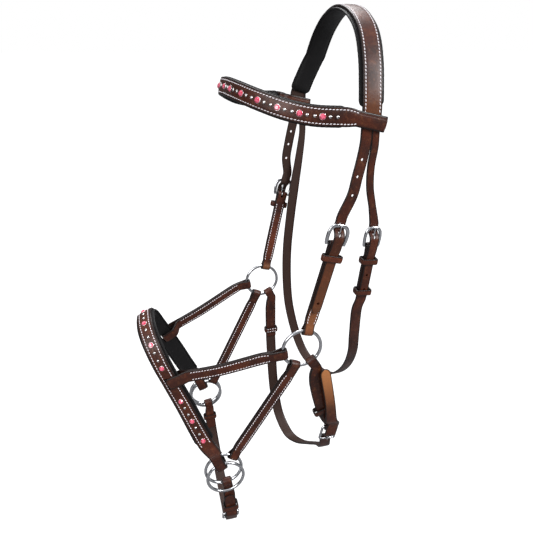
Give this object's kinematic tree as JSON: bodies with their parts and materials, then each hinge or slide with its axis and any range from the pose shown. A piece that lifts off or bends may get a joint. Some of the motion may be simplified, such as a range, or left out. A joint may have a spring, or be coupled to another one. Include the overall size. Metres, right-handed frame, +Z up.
{
  "type": "bitless bridle",
  "caption": "Side-pull bitless bridle: padded noseband with reinforced side straps, jaw and chin straps, cheekpieces, browband, crown and throatlatch, joined by steel rings and buckles.",
  "frame": {"origin": "under the middle of the crown pad, where the poll carries the bridle", "axes": "+Z up, the horse faces -Y, its left (near) side is +X"},
  "size_m": [0.2286, 0.2906, 0.7123],
  "materials": {
    "leather": "satin finished",
    "padding": "soft padded",
    "steel": "polished"
  },
  "bodies": {
    "crown": {"crown_strap": "leather", "crown_pad": "padding", "near_cheekpiece": "leather", "far_cheekpiece": "leather", "near_cheek_buckle": "steel", "far_cheek_buckle": "steel", "near_cheek_keeper": "leather", "far_cheek_keeper": "leather"},
    "browband": {"browband_strap": "leather", "browband_pad": "padding"},
    "near_cheek_tongue": {"near_cheek_tongue": "steel"},
    "far_cheek_tongue": {"far_cheek_tongue": "steel"},
    "near_cheek_ring": {"near_cheek_ring": "steel"},
    "far_cheek_ring": {"far_cheek_ring": "steel"},
    "noseband": {"noseband_strap": "leather", "noseband_pad": "padding", "near_upper_side_strap": "leather", "far_upper_side_strap": "leather", "near_lower_side_strap": "leather", "far_lower_side_strap": "leather"},
    "near_nose_ring": {"near_nose_ring": "steel"},
    "far_nose_ring": {"far_nose_ring": "steel"},
    "near_rein_ring": {"near_rein_ring": "steel"},
    "far_rein_ring": {"far_rein_ring": "steel"},
    "chin": {"chin_strap": "leather", "chin_buckle_piece": "leather", "chin_buckle": "steel", "near_chin_keeper": "leather", "far_chin_keeper": "leather"},
    "chin_tongue": {"chin_tongue": "steel"},
    "jaw": {"jaw_strap": "leather", "jaw_buckle_piece": "leather", "jaw_buckle": "steel", "near_jaw_keeper": "leather", "far_jaw_keeper": "leather"},
    "jaw_tongue": {"jaw_tongue": "steel"},
    "throat": {"throatlatch": "leather", "throat_billet": "leather", "throat_buckle": "steel", "throat_keeper_1": "leather"},
    "throat_keeper": {"throat_keeper_2": "leather"},
    "throat_tongue": {"throat_tongue": "steel"}
  },
  "joints": [
    {"name": "browband_slide", "type": "slide", "parent": "crown", "child": "browband", "axis": [0, 0, 1], "range_m": [-0.003, 0.003]},
    {"name": "near_cheek_tongue_lift", "type": "hinge", "parent": "crown", "child": "near_cheek_tongue", "pos_m": [0.107, -0.04, -0.238], "axis": [0, 0.9729, -0.231], "range_deg": [0, 3]},
    {"name": "far_cheek_tongue_lift", "type": "hinge", "parent": "crown", "child": "far_cheek_tongue", "pos_m": [-0.107, -0.04, -0.238], "axis": [0, -0.9729, 0.231], "range_deg": [0, 3]},
    {"name": "near_cheek_ring_turn", "type": "hinge", "parent": "crown", "child": "near_cheek_ring", "pos_m": [0.101, -0.073, -0.374], "axis": [1, 0, 0], "continuous": true},
    {"name": "far_cheek_ring_turn", "type": "hinge", "parent": "crown", "child": "far_cheek_ring", "pos_m": [-0.101, -0.073, -0.374], "axis": [1, 0, 0], "continuous": true},
    {"name": "noseband_swing", "type": "hinge", "parent": "crown", "child": "noseband", "pos_m": [0, -0.073, -0.374], "axis": [1, 0, 0], "range_deg": [-6, 2]},
    {"name": "near_nose_ring_turn", "type": "hinge", "parent": "noseband", "child": "near_nose_ring", "pos_m": [0.086, -0.174, -0.559], "axis": [1, 0, 0], "continuous": true},
    {"name": "far_nose_ring_turn", "type": "hinge", "parent": "noseband", "child": "far_nose_ring", "pos_m": [-0.086, -0.174, -0.559], "axis": [1, 0, 0], "continuous": true},
    {"name": "near_rein_ring_turn", "type": "hinge", "parent": "noseband", "child": "near_rein_ring", "pos_m": [0.0916, -0.1725, -0.569], "axis": [1, 0, 0], "continuous": true},
    {"name": "far_rein_ring_turn", "type": "hinge", "parent": "noseband", "child": "far_rein_ring", "pos_m": [-0.0916, -0.1725, -0.569], "axis": [1, 0, 0], "continuous": true},
    {"name": "chin_swing", "type": "hinge", "parent": "noseband", "child": "chin", "pos_m": [0, -0.174, -0.559], "axis": [1, 0, 0], "range_deg": [-4, 4]},
    {"name": "chin_tongue_lift", "type": "hinge", "parent": "chin", "child": "chin_tongue", "pos_m": [0.0825, -0.166, -0.648], "axis": [0, -0.999, -0.0454], "range_deg": [0, 3]},
    {"name": "jaw_swing", "type": "hinge", "parent": "crown", "child": "jaw", "pos_m": [0, -0.073, -0.374], "axis": [1, 0, 0], "range_deg": [-3, 4]},
    {"name": "jaw_tongue_lift", "type": "hinge", "parent": "jaw", "child": "jaw_tongue", "pos_m": [0.088, -0.0235, -0.519], "axis": [0, -0.9926, 0.1215], "range_deg": [0, 3]},
    {"name": "throat_swing", "type": "hinge", "parent": "crown", "child": "throat", "pos_m": [0.101, 0.0018, -0.132], "axis": [0.9976, 0.0694, 0], "range_deg": [-2, 10]},
    {"name": "throat_tongue_lift", "type": "hinge", "parent": "throat", "child": "throat_tongue", "pos_m": [0.1005, 0.0075, -0.247], "axis": [0, 0.9959, -0.0901], "range_deg": [0, 3]},
    {"name": "throat_keeper_slide", "type": "slide", "parent": "throat", "child": "throat_keeper", "axis": [0.045, 0.09, 0.9949], "range_m": [-0.004, 0.01]}
  ]
}
